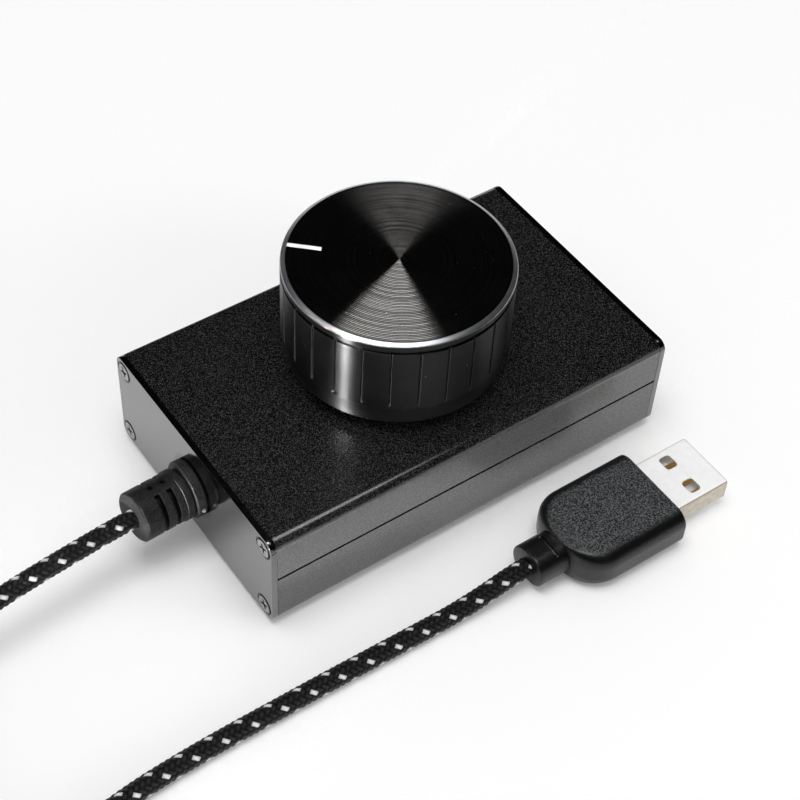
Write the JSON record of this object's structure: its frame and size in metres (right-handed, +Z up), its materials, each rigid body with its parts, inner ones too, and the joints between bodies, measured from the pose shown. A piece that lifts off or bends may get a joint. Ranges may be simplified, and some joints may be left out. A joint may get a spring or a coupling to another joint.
{
  "type": "usb volume control knob",
  "caption": "Desktop volume control: a flat aluminium case, a large push-and-turn knob on its top and a braided lead with a USB-A plug.",
  "frame": {"origin": "centre of the case and knob, on the surface under the rubber feet", "axes": "+X along the case, away from the lead; +Y across the case; +Z up along the knob's axis"},
  "size_m": [0.1893, 0.0762, 0.0432],
  "materials": {
    "case_black": "sand-blasted and anodised black",
    "plate_black": "satin black anodised plate",
    "screw_black": "blackened steel",
    "foot_rubber": "matte",
    "board_green": "solder mask",
    "chip_black": "moulded",
    "can_steel": "plated",
    "socket_plastic": "moulded",
    "wire_rubber": "insulation, one colour for each wire",
    "housing_plastic": "moulded",
    "knob_black": "turned, anodised black, bright cut edge",
    "pointer_white": "paint-filled line",
    "relief_rubber": "moulded, fine grain",
    "lead_braid": "braided nylon, black with white flecks",
    "plug_rubber": "moulded, fine grain",
    "plug_steel": "nickel-plated sheet",
    "plug_plastic": "moulded",
    "contact_gold": "gold-plated"
  },
  "bodies": {
    "case": {"top_shell": "case_black", "bottom_shell": "case_black", "cord_end_plate": "plate_black", "far_end_plate": "plate_black", "cord_end_screws": "screw_black", "far_end_screws": "screw_black", "rubber_feet": "foot_rubber", "circuit_board": "board_green", "controller_chip": "chip_black", "crystal": "can_steel", "capacitors": "can_steel", "resistors": "chip_black", "lead_socket": "socket_plastic", "lead_socket_plug": "socket_plastic", "inner_wires": "wire_rubber", "encoder_housing": "housing_plastic", "encoder_bushing": "can_steel", "encoder_washer": "can_steel", "encoder_nut": "can_steel", "encoder_pins": "can_steel", "switch_dome": "can_steel", "strain_relief": "relief_rubber", "lead_inner_end": "lead_braid", "lead_near": "lead_braid", "lead_coil": "lead_braid", "lead_far": "lead_braid", "plug_grip": "plug_rubber", "plug_shell": "plug_steel", "plug_insert": "plug_plastic", "plug_contacts": "contact_gold"},
    "rotor": {"encoder_rotor": "socket_plastic"},
    "knob": {"encoder_shaft": "can_steel", "knob_body": "knob_black", "knob_pointer": "pointer_white", "knob_set_screw": "screw_black"},
    "plunger": {"switch_plunger": "socket_plastic"}
  },
  "joints": [
    {"name": "knob_turn", "type": "hinge", "parent": "case", "child": "rotor", "pos_m": [0, 0, 0.0176], "axis": [0, 0, 1], "continuous": true},
    {"name": "knob_press", "type": "slide", "parent": "rotor", "child": "knob", "axis": [0, 0, -1], "range_m": [0, 0.0005], "stiffness_N_per_m": 8000, "springref_m": -0.0002},
    {"name": "plunger_press", "type": "slide", "parent": "case", "child": "plunger", "axis": [0, 0, -1], "range_m": [0, 0.0005], "deforming": ["switch_dome"]}
  ],
  "couplings": [
    {"joint": "plunger_press", "follows": "knob_press", "ratio": 1}
  ]
}
